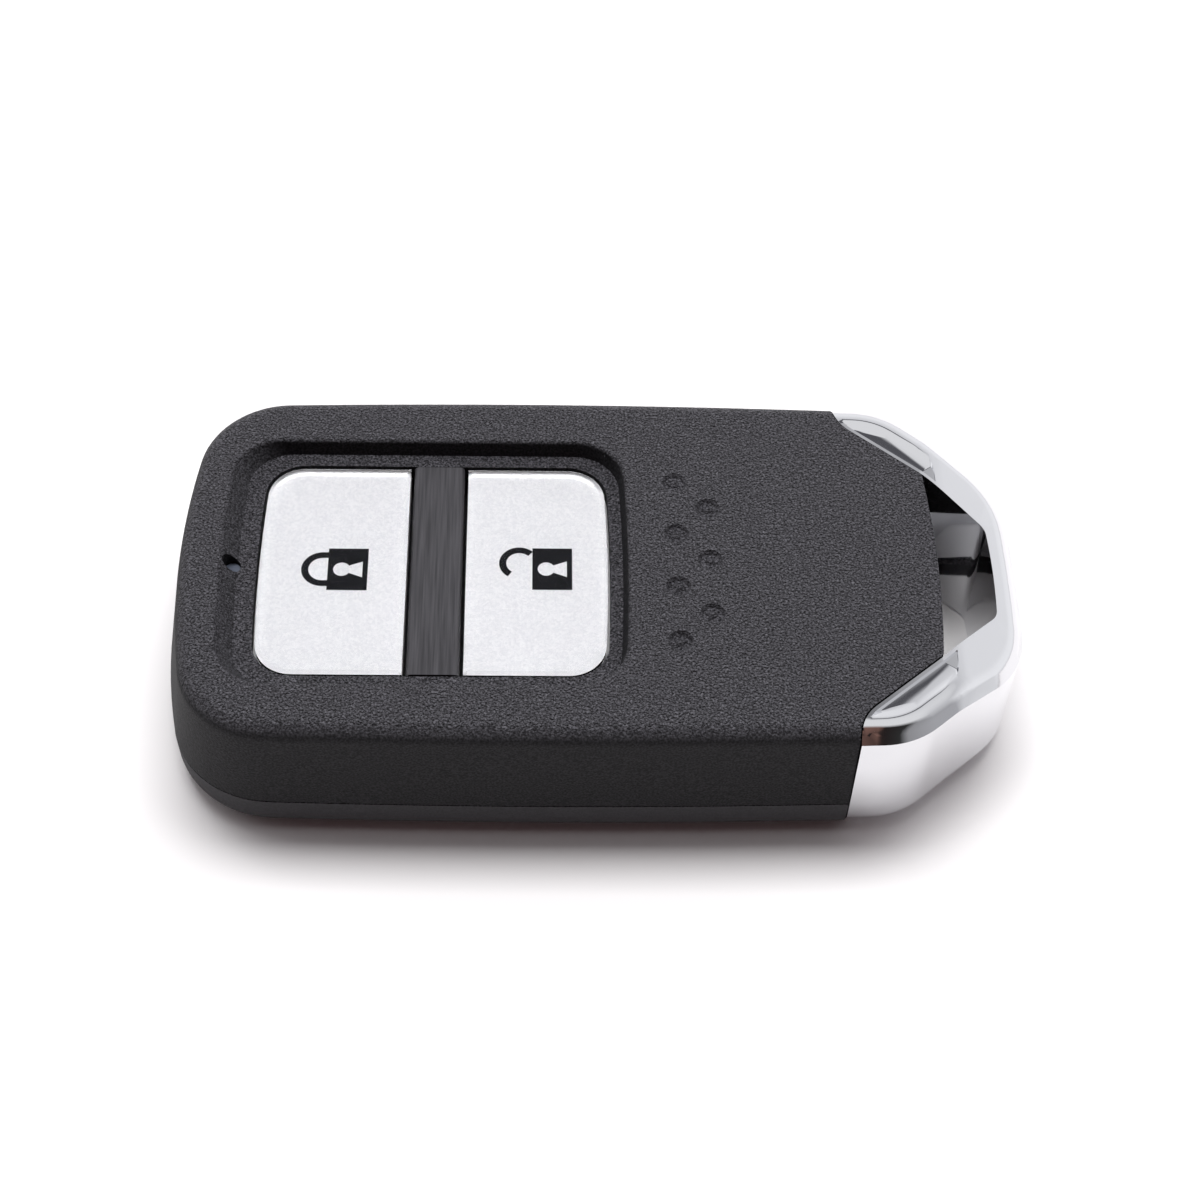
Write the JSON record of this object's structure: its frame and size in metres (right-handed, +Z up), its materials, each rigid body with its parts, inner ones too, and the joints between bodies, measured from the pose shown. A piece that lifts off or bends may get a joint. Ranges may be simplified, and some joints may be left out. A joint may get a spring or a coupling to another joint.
{
  "type": "car key fob",
  "caption": "Proximity car key fob: black grained case, recessed silver lock and unlock buttons, and a chrome key ring loop that pulls out with the spare key blade.",
  "frame": {"origin": "middle of the footprint, on the surface the fob lies on", "axes": "+X towards the chrome key ring loop, +Z up out of the buttons, +Y to the left seen from the plain end"},
  "size_m": [0.0784, 0.0398, 0.0152],
  "materials": {
    "case_plastic": "fine pebble grain, black",
    "bar_plastic": "satin black",
    "clear_cap": "clear, polished",
    "pearl_silver": "pearl silver with fine flake",
    "keypad_rubber": "smooth, black",
    "switch_body": "moulded black",
    "switch_plunger": "moulded ivory",
    "board": "green solder mask",
    "tray_plastic": "smooth black",
    "cell_steel": "satin nickel plate",
    "contact_steel": "sprung strip, bright",
    "chip_black": "moulded black",
    "crystal_metal": "drawn can",
    "ferrite": "dark grey, dull",
    "copper": "enamelled copper wire",
    "capacitor": "tan ceramic",
    "inductor": "moulded grey",
    "lamp": "pale resin",
    "light_pipe": "frosted clear",
    "chrome": "bright plate",
    "blade_steel": "milled and plated",
    "pin_steel": "turned",
    "knob_plastic": "smooth black",
    "spring_steel": "drawn wire"
  },
  "bodies": {
    "lower": {"lower_case": "case_plastic", "release_spring": "spring_steel"},
    "upper": {"upper_case": "case_plastic", "centre_bar": "bar_plastic", "keypad_mat": "keypad_rubber", "board_tray": "tray_plastic", "circuit_board": "board", "coin_cell": "cell_steel", "battery_positive_clip": "contact_steel", "battery_negative_contact": "contact_steel", "lock_switch": "switch_body", "unlock_switch": "switch_body", "receiver_coil_core": "ferrite", "receiver_coil_winding": "copper", "radio_chip": "chip_black", "control_chip": "chip_black", "crystal_can": "crystal_metal", "chip_capacitors": "capacitor", "power_inductor": "inductor", "indicator_lamp": "lamp", "indicator_lens": "light_pipe"},
    "lock_button": {"lock_button_lens": "clear_cap", "lock_button_base": "pearl_silver", "lock_keypad_dome": "keypad_rubber"},
    "unlock_button": {"unlock_button_lens": "clear_cap", "unlock_button_base": "pearl_silver", "unlock_keypad_dome": "keypad_rubber"},
    "lock_switch_plunger": {"lock_plunger": "switch_plunger"},
    "unlock_switch_plunger": {"unlock_plunger": "switch_plunger"},
    "emergency_key": {"key_loop": "chrome", "key_blade": "blade_steel", "blade_pins": "pin_steel"},
    "release": {"release_knob": "knob_plastic"}
  },
  "joints": [
    {"name": "case_open", "type": "slide", "parent": "lower", "child": "upper", "axis": [0, 0, 1], "range_m": [0, 0.015]},
    {"name": "lock_press", "type": "slide", "parent": "upper", "child": "lock_button", "axis": [0, 0, -1], "range_m": [0, 0.0005], "stiffness_N_per_m": 2000, "springref_m": -0.0005},
    {"name": "unlock_press", "type": "slide", "parent": "upper", "child": "unlock_button", "axis": [0, 0, -1], "range_m": [0, 0.0005], "stiffness_N_per_m": 2000, "springref_m": -0.0005},
    {"name": "lock_plunger_press", "type": "slide", "parent": "upper", "child": "lock_switch_plunger", "axis": [0, 0, -1], "range_m": [0, 0.00025]},
    {"name": "unlock_plunger_press", "type": "slide", "parent": "upper", "child": "unlock_switch_plunger", "axis": [0, 0, -1], "range_m": [0, 0.00025]},
    {"name": "key_pull", "type": "slide", "parent": "lower", "child": "emergency_key", "axis": [1, 0, 0], "range_m": [0, 0.045]},
    {"name": "release_slide", "type": "slide", "parent": "lower", "child": "release", "axis": [0, 1, 0], "range_m": [0, 0.0018], "stiffness_N_per_m": 400, "springref_m": -0.001, "deforming": ["release_spring"]}
  ],
  "couplings": [
    {"joint": "lock_plunger_press", "follows": "lock_press", "ratio": 0.5},
    {"joint": "unlock_plunger_press", "follows": "unlock_press", "ratio": 0.5}
  ]
}
